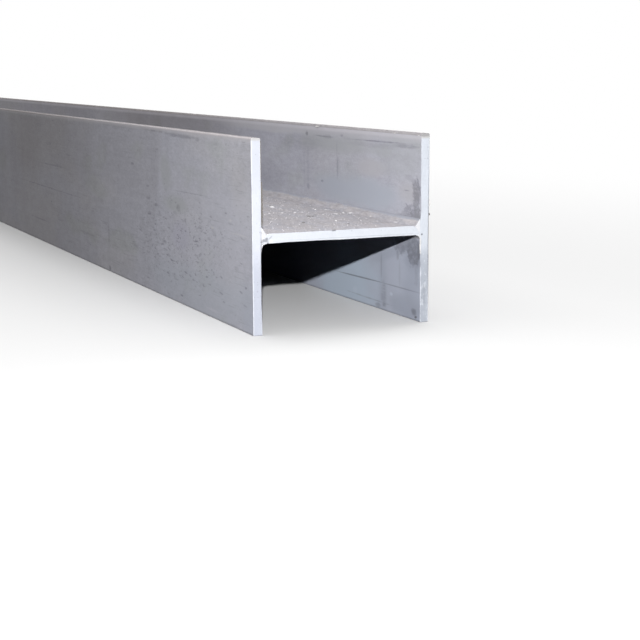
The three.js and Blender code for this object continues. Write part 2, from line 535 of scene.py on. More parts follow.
def weld_finish(name, dusty):
    """The skin of a seam: grey weld metal with a straw tint at its toes, or the web's dust lying over it,
    darkened by painted shade.
    """
    skin = Finish(name)
    across = skin.attribute("across")
    patches = skin.cloud((16, 55, 16), 3)
    slag = skin.cloud((2, 4.5, 2), 3, 0.65)
    skin.colour = skin.shade(WELD_TOE if dusty else WELD_SKIN, (patches, 0.14), (slag, 0.14))
    skin.paint(HEAT_STRAW, abs(across).ramp(0.55, 1) * patches.ramp(0.4, 0.6) * 0.12)
    if dusty:
        edge = slag * 0.9 + patches * 1.1 + across
        # the dust over an upper seam is darkened as painted shade, since the seam's slope catches more light
        # than the web
        skin.paint(skin.mix(gritty_dust(skin), FILM_BROWN, 0.16), edge.fade(1.55, 1.9, 0.95))
    skin.paint(FILM_BROWN, old_film(skin, 200, 1200, 0.3))
    skin.paint(OXIDE_DARK, across.ramp(0.7, 1) * patches.ramp(0.4, 0.6, 0, 0.8) * 0.22)
    skin.relief((slag, 0.06))
    return skin.finish(slag.ramp(0.3, 0.7, 0.6, 0.8), 0.05, 0.08)


def crumb_finish(name, tone, roughness):
    skin = Finish(name)
    grain = skin.cloud((2, 2, 2))
    skin.colour = skin.shade(tone, (grain, 0.18))
    return skin.finish(grain.ramp(0.2, 0.8, roughness - 0.1, roughness + 0.1), 0.0, 0.1)


# ---- sections and lofts
def section_outline(node):
    """The corners of a node's near end, anticlockwise, as (x, z) vectors."""
    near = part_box(node)[0].y
    solid = bmesh.new()
    solid.from_mesh(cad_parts[node].data)
    bmesh.ops.remove_doubles(solid, verts=solid.verts, dist=SAME_POINT)
    end_faces = {face for face in solid.faces if max(abs(v.co.y - near) for v in face.verts) < SAME_POINT}
    beside = {}
    for edge in solid.edges:
        if len(end_faces.intersection(edge.link_faces)) == 1:
            a, b = edge.verts
            beside.setdefault(a, []).append(b)
            beside.setdefault(b, []).append(a)
    start = min(beside, key=lambda v: (v.co.x, v.co.z))
    walk = [start, beside[start][0]]
    while True:
        onward = next(v for v in beside[walk[-1]] if v is not walk[-2])
        if onward is start:
            break
        walk.append(onward)
    outline = [Vector((v.co.x, v.co.z)) for v in walk]
    solid.free()
    turning = sum(a.cross(b) for a, b in zip(outline, outline[1:] + outline[:1]))
    return outline if turning > 0 else outline[::-1]


def refined(outline):
    """Adds a point near each end of a long side, and more where the side is wide."""
    points = []
    for a, b in zip(outline, outline[1:] + outline[:1]):
        points.append(a)
        side = b - a
        if side.length > 4 * CORNER_SUPPORT:
            first = a + side.normalized() * CORNER_SUPPORT
            last = b - side.normalized() * CORNER_SUPPORT
            pieces = max(1, math.ceil((last - first).length / WIDEST_SIDE))
            points += [first.lerp(last, k / pieces) for k in range(pieces + 1)]
    return points


def turned_in(outline, depth):
    """The outline moved inwards by this depth, corner by corner."""
    moved = []
    for k, corner in enumerate(outline):
        before = (corner - outline[k - 1]).normalized().orthogonal()
        after = (outline[(k + 1) % len(outline)] - corner).normalized().orthogonal()
        inward = before + after
        moved.append(corner + inward * depth / max(0.5, 1 + before.dot(after)))
    return moved


def plate_rows():
    """Places along the beam for a plate's sections: close together near its ends, wider between."""
    gone = END_CHAMFER
    places = []
    while gone < LENGTH / 2:
        places.append(gone)
        gone += FINE_ROW + (WIDE_ROW - FINE_ROW) * min(1, gone / FINE_REACH) ** 2
    return [NEAR_END + gone for gone in places] + [FAR_END - gone for gone in reversed(places)]


def seam_rows():
    """Evenly spaced places, a few to each ripple."""
    length = LENGTH - 2 * END_CHAMFER
    count = round(length / RIPPLE_PITCH * ROWS_PER_RIPPLE)
    return [NEAR_END + END_CHAMFER + length * k / count for k in range(count + 1)]


def loft(name, outline, rows, relief, notes):
    """A closed bar along Y with its end corners broken. Its cut ends take material slot 1.

    relief(corner, y) moves a corner of the section by (x, z). notes names vertex attributes and the
    functions of a corner that fill them.
    """
    shell = bmesh.new()
    layers = {label: shell.verts.layers.float.new(label) for label in notes}
    end_outline = turned_in(outline, END_CHAMFER)
    sections = [(NEAR_END, end_outline)] + [(y, outline) for y in rows] + [(FAR_END, end_outline)]
    rings = []
    for y, section in sections:
        ring = []
        for corner, original in zip(section, outline):
            shift_x, shift_z = relief(original, y)
            vertex = shell.verts.new((corner.x + shift_x, y, corner.y + shift_z))
            for label, layer in layers.items():
                vertex[layer] = notes[label](original)
            ring.append(vertex)
        rings.append(ring)
    for number, (ring, following) in enumerate(zip(rings, rings[1:])):
        for face in skinned(shell, ring, following):
            face.smooth = True
            face.material_index = int(number in (0, len(rings) - 2))
    caps = [shell.faces.new(rings[0]), shell.faces.new(rings[-1])]
    for cap in caps:
        cap.material_index = 1
    bmesh.ops.triangulate(shell, faces=caps)
    bmesh.ops.recalc_face_normals(shell, faces=shell.faces)
    return mesh_piece(name, shell, CRISP_ANGLE)


def skinned(shell, ring, following):
    """New faces that join one ring of points to the next."""
    around = range(len(ring))
    return [shell.faces.new((ring[k - 1], ring[k], following[k], following[k - 1])) for k in around]


def placed(name, data):
    """A new object of the scene."""
    made = bpy.data.objects.new(name, data)
    scene.collection.objects.link(made)
    return made


def mesh_piece(name, shell, crisp=None):
    """Turns a bmesh into an object of the scene."""
    mesh = bpy.data.meshes.new(name)
    shell.to_mesh(mesh)
    shell.free()
    if crisp:
        mesh.set_sharp_from_angle(angle=crisp)
    return placed(name, mesh)


def dress(piece, slot, node, *finishes):
    for finish in finishes:
        piece.data.materials.append(finish)
    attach(piece, "root")
    if node:
        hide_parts(node)


# ---- plates
def lumps(*place):
    """Smooth unevenness, from about -1 to 1."""
    return noise.noise(Vector(place))


def dent_depth(x, y, seed):
    """How deep a sheared edge is dented here: mostly hardly at all, now and then a nick."""
    long_dent = lumps(x * 90, y * 38, seed)
    short_dent = lumps(x * 160, y * 150, seed + 9)
    return max(0, long_dent - 0.25) * 0.9 * MM + max(0, short_dent - 0.3) * 0.8 * MM


def window(place, low, high, fade):
    """1 between two places and 0 outside them, with a smooth change over a fade centred on each."""
    rise = min(1, max(0, (place - low) / fade + 0.5))
    fall = min(1, max(0, (high - place) / fade + 0.5))
    return rise * rise * (3 - 2 * rise) * fall * fall * (3 - 2 * fall)


def flange_relief(seed, bulges):
    """Waves, dents, and the bulges that a flange takes as its seams cool.

    Each bulge is a face, the heights between which it lies, its fade, its shift outwards and its reach from
    the near end, all in millimetres. A reach of 0 runs the whole length.
    """
    def relief(corner, y):
        wave = lumps(corner.x * 60, y * 5, corner.y * 8 + seed)
        ripple = lumps(corner.x * 60, y * 28, corner.y * 30 + seed)
        from_web = min(1, max(0, (abs(corner.y - WEB_MIDDLE) - 16 * MM) / (15 * MM)))
        bend = (wave * 0.16 + ripple * 0.04) * MM * from_web
        from_edge = MID_HEIGHT - abs(corner.y - MID_HEIGHT)
        near_edge = max(0, 1 - from_edge / (4 * MM))
        dent = dent_depth(corner.x, y, seed) * near_edge
        own_face = "outer" if abs(corner.x) > FLANGE_MIDDLE else "inner"
        outwards = 0.0
        for face, low, high, fade, shift, reach in bulges:
            if face in ("both", own_face):
                lasting = math.exp((NEAR_END - y) / (reach * MM)) if reach else 1.0
                outwards += shift * MM * lasting * window(corner.y / MM, low, high, fade)
        return bend + math.copysign(1, corner.x) * outwards, -dent if corner.y > MID_HEIGHT else dent
    return relief


def web_relief(corner, y):
    """A slight wave, and the fullness that shows under the web at its near end."""
    from_edge = min(1, max(0, (FLANGE_INNER - 12 * MM - abs(corner.x)) / (20 * MM)))
    wave = lumps(corner.x * 9, y * 5, corner.y * 60)
    lift = wave * 0.15 * MM * from_edge
    if corner.y < WEB_MIDDLE:
        lift += 0.5 * MM * window(corner.x / MM, -70, -12, 20) * math.exp((NEAR_END - y) / (60 * MM))
    return 0, lift


def build_plate(name, node, relief, *finishes):
    piece = loft(name, refined(section_outline(node)), plate_rows(), relief, {})
    dress(piece, "plate", node, *finishes)


# ---- geometry node trees
class Tree(Nodes):
    """A Geometry Nodes tree with named inputs, one of them its Skin."""

    def __init__(self, name, **inputs):
        super().__init__(bpy.data.node_groups.new(name, "GeometryNodeTree"))
        sockets = self.tree.interface
        for label, kind in {"Geometry": "Geometry", **inputs, "Skin": "Material"}.items():
            sockets.new_socket(label, in_out="INPUT", socket_type="NodeSocket" + kind)
        sockets.new_socket("Geometry", in_out="OUTPUT", socket_type="NodeSocketGeometry")
        self.entry = {s.name: Value(self, s) for s in self.node("NodeGroupInput").outputs}
        self.exit = self.node("NodeGroupOutput").inputs[0]

    def attribute(self, name):
        return self.result("GeometryNodeInputNamedAttribute", {"data_type": "FLOAT"}, Name=name)

    def swollen(self, geometry, height):
        """Moves a surface out along its normals."""
        push = self.scaled(self.result("GeometryNodeInputNormal"), height)
        return self.result("GeometryNodeSetPosition", Geometry=geometry, Offset=push)

    def finish(self, geometry, selection=True):
        """Gives out a plain mesh that wears the skin where it is selected."""
        plain = self.result("GeometryNodeRealizeInstances", Geometry=geometry)
        skin = self.entry["Skin"]
        worn = self.result("GeometryNodeSetMaterial", Geometry=plain, Material=skin, Selection=selection)
        self.feed(self.exit, worn)
        return self

    def run(self, piece, **values):
        """Runs the tree on a piece and leaves the result as the piece's own plain mesh."""
        modifier = piece.modifiers.new(self.tree.name, "NODES")
        modifier.node_group = self.tree
        for item in self.tree.interface.items_tree:
            if item.in_out == "INPUT" and item.name in values:
                modifier[item.identifier] = values[item.name]
        bpy.context.view_layer.update()
        seen = piece.evaluated_get(bpy.context.evaluated_depsgraph_get())
        result = bpy.data.meshes.new_from_object(seen)
        piece.modifiers.remove(modifier)
        old = piece.data
        piece.data = result
        bpy.data.meshes.remove(old)
        return piece


def ripple_tree():
    """Raises curved ripples on a seam's face, bowed along the beam as the weld pool left them."""
    tree = Tree("seam_ripples", Pitch="Float", Height="Float", Bow="Float", Unevenness="Float", Seed="Float")
    entry = tree.entry
    along = tree.parts(tree.result("GeometryNodeInputPosition"))[1]
    across, face = tree.attribute("across"), tree.attribute("face")
    turns = ((1 - across * across) * entry["Bow"] + along) / entry["Pitch"]
    where = along * 40 + entry["Seed"]
    drift = tree.result("ShaderNodeTexNoise", {"noise_dimensions": "1D"}, W=where, Scale=1.0, Detail=2.0)
    swing = tree.math("COSINE", (drift * entry["Unevenness"] + turns) * (2 * math.pi))
    crest = (swing * 0.5 + 0.5) ** 1.6
    raised = tree.swollen(entry["Geometry"], crest * face * entry["Height"] * (drift * 1.2 + 0.4))
    facing_along = abs(tree.parts(tree.result("GeometryNodeInputNormal"))[1])
    off_cuts = tree.math("LESS_THAN", facing_along, 0.5)
    return tree.finish(raised, tree.math("GREATER_THAN", face, 0.0) * off_cuts)


def scatter_tree():
    """Strews small broken crumbs over a surface, most of them small and a few large."""
    tree = Tree("strewn_crumbs", Density="Float", Smallest="Float", Largest="Float", Flatness="Float",
                Seed="Int")
    entry, seed = tree.entry, tree.entry["Seed"]
    crowd = tree.attribute("spread") * entry["Density"]
    points, _, facing = tree.results("GeometryNodeDistributePointsOnFaces", Mesh=entry["Geometry"],
                                     Density=crowd, Seed=seed)
    ball = tree.result("GeometryNodeMeshIcoSphere", Radius=0.5, Subdivisions=1)
    chipped = tree.result("ShaderNodeTexNoise", Scale=1.7, Detail=1.0)
    shape = tree.result("ShaderNodeCombineXYZ", X=1.0, Y=0.62, Z=entry["Flatness"])
    lump = tree.swollen(ball, chipped * 0.9 - 0.45)
    crumb = tree.result("GeometryNodeTransform", Geometry=lump, Scale=shape)
    chance = tree.result("FunctionNodeRandomValue", {"data_type": "FLOAT"}, Min=0.0, Max=1.0, Seed=seed)
    size = chance ** 2.2 * (entry["Largest"] - entry["Smallest"]) + entry["Smallest"]
    spin = tree.result("FunctionNodeRandomValue", {"data_type": "FLOAT_VECTOR"}, Min=(-0.2, -0.2, 0.0),
                       Max=(0.2, 0.2, 2 * math.pi), Seed=seed + 1)
    own = {"rotation_space": "LOCAL"}
    heading = tree.result("FunctionNodeRotateRotation", own, Rotation=facing, Rotate_By=spin)
    strewn = tree.result("GeometryNodeInstanceOnPoints", Points=points, Instance=crumb, Rotation=heading,
                         Scale=size)
    return tree.finish(strewn)


# ---- seams
def build_seam(place, side, level, skin, cut, ripples):
    """side is -1 for the left seams, level is -1 for those below the web."""
    node = f"weld_{place}"
    seed = 10 * level + side
    outline = section_outline(node)
    toe = max(outline, key=lambda corner: FLANGE_INNER - side * corner.x)

    def legs(corner):
        """How far a corner is out along the web and up the flange."""
        return FLANGE_INNER - side * corner.x, level * (corner.y - toe.y)

    def exposed(corner):
        along_web, up_flange = legs(corner)
        return up_flange >= -SAME_POINT and max(along_web, up_flange) >= 1.5 * MM

    def across(corner):
        """-1 at the toe on the web, 1 at the toe on the flange, 0 off the open face."""
        along_web, up_flange = legs(corner)
        turn = math.atan2(max(0, up_flange), max(0, along_web))
        return turn / (math.pi / 4) - 1 if exposed(corner) else 0.0

    def face(corner):
        """1 in the middle of the open face, 0 at its toes and off it."""
        return max(0.0, 1 - across(corner) ** 2) if exposed(corner) else 0.0

    def relief(corner, y):
        swell = lumps(y * 11, seed, 0) * 0.28 + lumps(y * 45, seed, 3) * 0.12
        push = (swell + SEAM_FULLNESS[place]) * MM * face(corner)
        return -side * push, level * push

    piece = loft(f"{place}_seam", outline, seam_rows(), relief, {"across": across, "face": face})
    piece.data.materials.append(cut)
    piece.data.materials.append(cut)
    ripples.run(piece, Pitch=RIPPLE_PITCH, Height=RIPPLE_HEIGHT, Bow=RIPPLE_BOW, Unevenness=2.5,
                Seed=float(seed), Skin=skin)
    dress(piece, "weld", node)


# ---- crumbs on the web and burrs on the edges
def strip(name, corner, across, along, spread):
    """A flat strip from a corner to strew crumbs on, with their spread as an attribute."""
    columns, rows = 6, 240
    surface = bmesh.new()
    layer = surface.verts.layers.float.new("spread")
    grid = []
    for row in range(rows + 1):
        line = []
        for column in range(columns + 1):
            place = Vector(corner) + Vector(across) * column / columns + Vector(along) * row / rows
            vertex = surface.verts.new(place)
            vertex[layer] = spread(place)
            line.append(vertex)
        grid.append(line)
    for line, following in zip(grid, grid[1:]):
        for k in range(columns):
            surface.faces.new((line[k], line[k + 1], following[k + 1], following[k]))
    return mesh_piece(name, surface)


def build_crumbs(name, ground, scatter, skin, density, smallest, largest, flatness, seed):
    """So many crumbs to a square metre of a strip, from the smallest to the largest in millimetres."""
    piece = scatter.run(strip(name, *ground), Density=density, Smallest=smallest * MM, Largest=largest * MM,
                        Flatness=flatness, Seed=seed, Skin=skin)
    dress(piece, "plate", None)


def web_spread(place):
    """Crumbs gather in drifts, most of them a hand's breadth in from the cut end."""
    drift = lumps(place.x * 9, place.y * 4, 2.5) * 0.5 + 0.6
    near_end = math.exp(-((place.y - NEAR_END - 0.19) / 0.13) ** 2)
    return max(0.05, drift * 0.5 + near_end)


def near_spread(place):
    """Crumbs thick on the first half metre and sparse beyond it."""
    drift = lumps(place.x * 14, place.y * 9, 7.5) * 0.8 + 0.9
    beyond = min(1, max(0, (place.y - NEAR_END - 0.35) / 0.5))
    return max(0.1, drift) * (1 - 0.9 * beyond)


def even_spread(place):
    return 1.0


def build_flakes(name, rows, level, skin):
    """Single flakes lying at one level, as rows across, along, width, length and height."""
    heap = bmesh.new()
    for across, along, width, length, height in rows:
        flake = bmesh.ops.create_icosphere(heap, subdivisions=2, radius=0.5)["verts"]
        for vertex in flake:
            chip = 1 + 0.45 * noise.noise(vertex.co * 2.6 + Vector((across, along, 0)))
            vertex.co = Vector((vertex.co.x * width, vertex.co.y * length, vertex.co.z * height)) * chip * MM
            vertex.co += Vector((across * MM, NEAR_END + along * MM, level))
    bmesh.ops.recalc_face_normals(heap, faces=heap.faces)
    dress(mesh_piece(name, heap), "plate", None, skin)


def build_cut_burrs(name, rows, skin):
    """Thin ragged fins at a cut end, as rows of place, way, lowest and highest point, and width. Most are
    burrs left by the blade; the dark ones on the left flange's inner edge are painted shade.
    """
    fins = bmesh.new()
    for start, way, low, high, width in rows:
        steps = max(3, round((high - low) / 1.2))
        rings = []
        for step in range(steps + 1):
            height = low + (high - low) * step / steps
            ragged = 0.75 + 0.6 * lumps(height * 0.55, start, width)
            swell = math.sin(math.pi * (0.04 + 0.92 * step / steps)) ** 0.6
            reach = width * max(0.35, ragged) * swell
            section = [(-0.6, -0.05), (reach, 0.15), (reach * 0.7, 0.9), (-0.6, 1.3)]
            rings.append([fins.verts.new(((start + way * out) * MM, NEAR_END + back * MM, height * MM))
                          for out, back in section])
        for ring, following in zip(rings, rings[1:]):
            skinned(fins, ring, following)
        fins.faces.new(rings[0])
        fins.faces.new(rings[-1])
    bmesh.ops.recalc_face_normals(fins, faces=fins.faces)
    dress(mesh_piece(name, fins), "plate", None, skin)


# ---- stage
def build_floor():
    """A wide pale floor that turns to plain white away from the beam."""
    half, drop = 60.0, 0.2 * MM
    mesh = bpy.data.meshes.new("studio_floor")
    corners = [(-half, -half, -drop), (half, -half, -drop), (half, half, -drop), (-half, half, -drop)]
    mesh.from_pydata(corners, [], [(0, 1, 2, 3)])
    floor = placed("studio_floor", mesh)
    skin = Finish("studio_floor")
    aside = (abs(skin.x) - OUTER_MM).most(0.0)
    beyond = (abs(skin.y) - FAR_END / MM).most(0.0)
    away = skin.math("SQRT", aside * aside + beyond * beyond)
    whiter = away.ramp(0, 250, 0, 0.55) + away.ramp(100, 1600, 0, 0.45)
    lit = skin.result("ShaderNodeBsdfDiffuse", Color=FLOOR_PALE)
    seen = skin.listed("ShaderNodeMixShader", {}, whiter, lit, skin.result("ShaderNodeEmission"))
    skin.show(skin.surface, skin.result("ShaderNodeBsdfDiffuse", Color=FLOOR_BOUNCE), seen)
    mesh.materials.append(skin.material)


def build_world():
    """White to the eye and in reflections. As light, it is brighter overhead and dim at the horizon."""
    world = bpy.data.worlds.new("studio")
    scene.world = world
    world.use_nodes = True
    sky = Nodes(world.node_tree)
    surface = sky.node("ShaderNodeOutputWorld").inputs["Surface"]
    heading = Value(sky, sky.node("ShaderNodeTexCoord").outputs["Generated"])
    glow = sky.parts(heading)[2].ramp(0.15, 1, 0.06, 0.55)
    light = sky.result("ShaderNodeBackground", Color=WHITE, Strength=glow)
    sky.show(surface, light, sky.result("ShaderNodeBackground", Color=WHITE))


def soft_lamp(name, place, target, width, height, watts):
    """An area lamp. Its width lies level, along Y for a lamp beside the beam."""
    lamp = bpy.data.lights.new(name, "AREA")
    lamp.shape = "RECTANGLE"
    lamp.size, lamp.size_y = width, height
    lamp.energy = watts
    holder = placed(name, lamp)
    holder.location = place
    holder.rotation_euler = (Vector(target) - Vector(place)).to_track_quat("-Z", "Y").to_euler()
    holder.visible_camera = False


def build_camera():
    camera = bpy.data.cameras.new("camera")
    camera.lens = LENS
    holder = placed("camera", camera)
    holder.location = CAMERA_PLACE
    turn = Euler((math.pi / 2 + TILT, 0, HEADING)).to_matrix() @ Matrix.Rotation(ROLL, 3, "Z")
    holder.rotation_euler = turn.to_euler()
    scene.camera = holder


# ---- marks
# Each mark is its distance from the near end, height, half length, half height, strength and turn.
# A look holds tints, soft marks, ragged smudges and unbroken traces.
PLAIN_SMUDGES = [
    (1300, 60, 26, 16, 0.3, 10), (2100, 160, 40, 12, 0.26, -8), (3400, 80, 30, 20, 0.26),
    (5200, 130, 45, 16, 0.3, 5),
]
PLAIN_LOOK = ([], [
    (2700, 45, 180, 25, 0.18, 4), (4700, 135, 260, 22, 0.16, -3),
], PLAIN_SMUDGES, [
    (900, 150, 200, 1.2, 0.3, 0.3), (1650, 45, 260, 1.1, 0.26, -0.2), (3600, 120, 300, 1.2, 0.28, 0.2),
])
LEFT_OUTER = ([
    (PICKLED_BEIGE, 38, 148, 26, 40, 0.2), (PICKLED_PALE, 150, 130, 120, 80, 0.15),
    (PICKLED_PALE, 140, 75, 150, 75, 0.3), (SHADED_DULL, 10, 25, 26, 34, 0.35),
    (PICKLED_PALE, 25, 118, 60, 34, 0.45), (PICKLED_BLUE, 150, 22, 220, 34, 0.5),
    (PICKLED_GREEN, 280, 150, 24, 26, 0.6), (PICKLED_GREEN, 250, 114, 50, 11, 0.7),
    (PICKLED_VIOLET, 226, 80, 34, 20, 0.4), (PICKLED_PALE, 122, 8.5, 22, 1.5, 0.6, 1),
    (BURR_BRIGHT, 40, 99.5, 30, 1.1, 0.28), (BURR_BRIGHT, 62, 112, 4, 1.4, 0.4),
    (BURR_BRIGHT, 118, 99, 5, 1.3, 0.4),
], [
    # dark smears under the upper edge
    (222, 193.2, 80, 3, 0.38, 0.5), (312, 195.2, 58, 1.7, 0.52, 0.4), (162, 191.8, 9, 3, 0.26),
    (480, 195, 140, 1.7, 0.22, 0.3), (110, 189.5, 24, 2.6, 0.14),
    # fine line along the rolling
    (190, 130.6, 85, 0.9, 0.3, -0.9),
    # short dashes, the strongest near the cut end
    (20, 46.5, 4, 1.8, 0.85), (34, 40.2, 6, 1.5, 0.8, 8), (22, 27.5, 8, 1.1, 0.4, 4),
    (86, 22.5, 5, 1.4, 0.6), (95, 31, 8, 1.4, 0.45, 6), (140, 42.5, 5, 1.7, 0.62, -5),
    (140, 50.3, 6, 1.3, 0.5), (108, 46.5, 6, 1.2, 0.42), (93, 48.5, 6, 1.6, 0.45, 10),
    (47, 63.5, 10, 3.4, 0.26), (76, 118.5, 5, 1.4, 0.45), (52, 118, 8, 1.1, 0.28),
    (62, 108.5, 11, 1.4, 0.2, 2), (130, 86, 7, 1.7, 0.42), (113, 94, 12, 5, 0.2, 25),
    (196, 37, 6, 1.6, 0.48, 5), (211, 38.6, 8, 1.4, 0.48, 5), (163, 46.5, 6, 1.4, 0.45, -16),
    (150, 55.5, 7, 1.3, 0.36, -28), (168, 74, 5, 2, 0.42), (160, 65, 8, 2.6, 0.34, -20),
    (175, 62.5, 7, 1.2, 0.38), (165, 94, 15, 1.3, 0.3, -12), (180, 78, 7, 1.4, 0.32, 4),
    (262, 47, 9, 1.6, 0.52, 6), (243, 46, 7, 1.6, 0.36, 8), (275, 51, 9, 1.7, 0.52, 3),
    (286, 66, 8, 2.8, 0.46), (283, 57, 6, 1.6, 0.42, 3), (276, 30, 7, 1.6, 0.46, 3), (228, 10, 7, 1.6, 0.5),
    (296, 78, 15, 1.7, 0.34, -6), (326, 76, 7, 1.6, 0.4), (318, 107, 9, 2.5, 0.46),
    (346, 95, 11, 3, 0.62, -3), (348, 113, 12, 2.2, 0.3, -2),
    # blurred thumb-sized blots, and fainter marks further on
    (234, 110.5, 9, 5.5, 0.34), (245, 103, 9, 2.8, 0.2, 10), (215, 97, 12, 2.2, 0.22),
    (350, 127.5, 7, 2, 0.3), (383, 70, 9, 2, 0.35, 4), (412, 151, 9, 2, 0.4), (408, 49, 16, 3.4, 0.26, 5),
    (356, 14, 8, 1.6, 0.4), (310, 174, 8, 2, 0.26, -3), (531, 52, 4, 24, 0.28), (530, 4.5, 6, 4.5, 0.6),
    (575, 92, 30, 8, 0.14), (640, 40, 60, 2.2, 0.2, 0.5),
    # lines along the rolling, further on
    (850, 88, 260, 1.2, 0.36, 0.2), (835, 124, 120, 1.2, 0.3), (925, 34, 80, 1.3, 0.36),
    (2300, 140, 160, 25, 0.16, 4), (4150, 60, 220, 30, 0.16, -3),
], PLAIN_SMUDGES, [])
RIGHT_UPPER = ([
    (PICKLED_SILVER, 120, 193, 200, 5.5, 0.66), (PICKLED_SILVER, 420, 192, 240, 6.5, 0.9),
    (PICKLED_GREEN, 230, 179, 120, 12, 0.85), (PICKLED_GREEN, 100, 178, 34, 9, 0.6),
    (FILM_BROWN, 800, 178, 290, 60, 0.42), (PICKLED_WARM, 120, 157, 45, 12, 0.8),
    (PICKLED_BLUE, 150, 127, 130, 19, 1), (PICKLED_WARM, 30, 136, 28, 14, 0.6),
    (PICKLED_GREEN, 48, 172, 62, 26, 0.45), (FILM_GREY, 450, 128, 90, 20, 0.15),
], [
    # broken line under the upper edge, and marks below it
    (100, 187.2, 100, 1.1, 0.46, -0.4), (252, 186.8, 36, 1.2, 0.44, 0.3), (240, 186.8, 14, 3, 0.3),
    (200, 190, 5, 2.2, 0.34), (303, 188.5, 5, 4.2, 0.6), (115, 182.5, 75, 4, 0.13), (36, 185, 42, 2.8, 0.32),
    (330, 176, 90, 12, 0.16), (299, 124, 6, 5, 0.32), (257, 133, 5, 2.2, 0.6), (33, 138, 9, 0.9, 0.4),
    (33, 122.5, 6, 1.3, 0.42, 30),
    # smear along the seam, and faint marks further on
    (30, 111.6, 26, 3.2, 0.6, -3), (480, 150, 14, 9, 0.3), (620, 170, 60, 1.6, 0.3),
    (900, 150, 60, 40, 0.14, 20),
], [
    # torn smudge by the cut end
    (12.5, 133, 11, 19, 0.56, 3), (12, 146, 5.5, 5.5, 0.38), (10, 114, 20, 10, 0.63),
    (32, 117, 14, 5.5, 0.4, -18), (28, 152, 16, 4, 0.14, 10),
], [
    # dark line along the seam
    (34, 111, 18, 1.3, 0.42, -2),
    # upright lines
    (212, 152, 3.6, 16, 0.28), (214, 172, 2.2, 15, 0.12), (300, 152, 6, 38, 0.13), (311, 150, 4, 34, 0.1),
])
RIGHT_LOWER = ([
    (SHADED_DULL, 12, 24, 34, 34, 0.75), (SHADED_DULL, 16, 8, 40, 10, 0.95),
    (SHADED_DULL, 14, 64, 28, 15, 1), (FILM_GREY, 34, 13, 50, 13, 0.13), (FILM_GREY, 8, 66, 13, 8, 0.18),
    (SHADED_DULL, 46, 12, 26, 13, 0.65), (SHADED_PALE, 66, 50, 22, 26, 0.35),
    (SHADED_DULL, 90, 6, 12, 60, 0.35), (SHADED_COOL, 185, 20, 85, 50, 0.9),
    (SHADED_DULL, 60, 69, 70, 7, 0.55, -15), (SHADED_BRIGHT, 68, 21, 4.5, 2.2, 0.55),
    (SHADED_BRIGHT, 162, 13, 8, 5, 0.3),
], [
    # soft upright band, and dark marks low down
    (87, 18, 9, 18, 0.26), (86, 8, 6, 5, 0.46), (101, 4, 9, 3.5, 0.36), (125, 8.5, 70, 1.1, 0.36, 0.4),
    (10, 3.8, 4.5, 2.1, 1, -12), (14, 8.5, 8, 5.5, 0.56),
], [
    # torn smudge below the seam, with drips
    (17, 78, 25, 17, 0.6), (40, 80, 24, 14, 0.5), (19, 64, 10, 7.5, 0.56), (53, 67, 4, 7, 0.3),
    (9, 50, 6, 16, 0.14),
], [
    # lines along the rolling
    (150, 29.6, 80, 1.2, 0.62, -1.1), (50, 30.9, 62, 1.1, 0.36, -0.4),
    # upright lines
    (93, 50, 2.6, 20, 0.22), (48, 45, 2.8, 19, 0.12),
    # dark strip beside the cut end
    (4.5, 76, 2.4, 17, 0.74),
])

# across the beam, height, half width, half height, strength, turn
# painted shade in the pockets and pores at the roots of the seams, on the cut ends
WELD_POCKETS = [
    (-86.6, 96.6, 4.4, 2, 0.66, -8), (-84.6, 98.2, 1.9, 1.9, 0.7), (-89.2, 95.5, 2.4, 1, 0.62),
    (-83.4, 94.3, 1.8, 1, 0.6), (-80.3, 99.5, 3.2, 0.9, 0.42, 41), (92, 94.1, 1.4, 1.3, 0.9),
]
BRIGHT_BUMPS = [
    (-79.6, 95.8, 2.6, 2.4, 0.8),
]
WEB_CUT_MARKS = WELD_POCKETS + [(20, 95.6, 90, 0.45, 0.3, -0.2), (-9.5, 103, 3.2, 0.8, 0.7)]
RIGHT_CUT_MARKS = WELD_POCKETS + [
    (90.9, 121, 1, 10, 0.22), (90.5, 85, 1.1, 4.5, 0.5), (90.4, 75, 0.8, 4, 0.4), (90.4, 62, 0.7, 5, 0.3),
    (95, 30, 2.4, 16, 0.22, 2),
]

# across the beam, distance from the near end, width, length, height
PALE_FLAKES = [
    (27, 262, 5.6, 12, 2.2), (11, 191, 2.4, 4, 1.2), (60, 208, 2.4, 4, 1.4), (71, 202, 2.4, 4, 1.4),
    (62, 153, 6.5, 6, 1), (80, 155, 6, 6, 1), (88, 205, 2, 4, 1.4), (30, 83, 2.4, 4, 1.6),
    (85, 110, 2, 4, 1), (83, 42, 6, 5, 0.9), (-5, 190, 2.4, 4, 1), (26, 188, 2.6, 4, 1),
    (35, 188, 2.2, 4, 1), (45, 151, 1.8, 4, 1), (75, 162, 2, 4, 1.2),
]
DARK_FLAKES = [
    (23, 142, 4, 8, 1), (27, 139, 2.6, 5, 1.2), (29, 48, 3, 5, 1.2), (-8, 84, 3.2, 6, 1),
    (88, 133, 4, 6, 1.2), (35, 150, 2.4, 4, 1), (-9.5, 1.5, 5, 2.4, 0.8),
]
EDGE_FLAKES = [
    (90.3, 270, 2.2, 9, 1.8), (90.8, 62, 1.6, 3.5, 1), (91, 6, 1.4, 2.4, 0.8),
]

# where it stands, which way it reaches, from and to which height, width
# the dark fins on the left flange's inner cut edge are painted shade along that edge; the one on the right
# flange's outer edge is a dark burr
DARK_BURRS = [(-89.2, 1, 112, 156, 1.5), (-89.7, 1, 158, 197, 0.3), (100.8, 1, 113.8, 116.4, 1.3)]
PALE_BURRS = [(90.4, -1, 73, 93, 1.1), (100.7, 1, 123, 131, 1.1)]

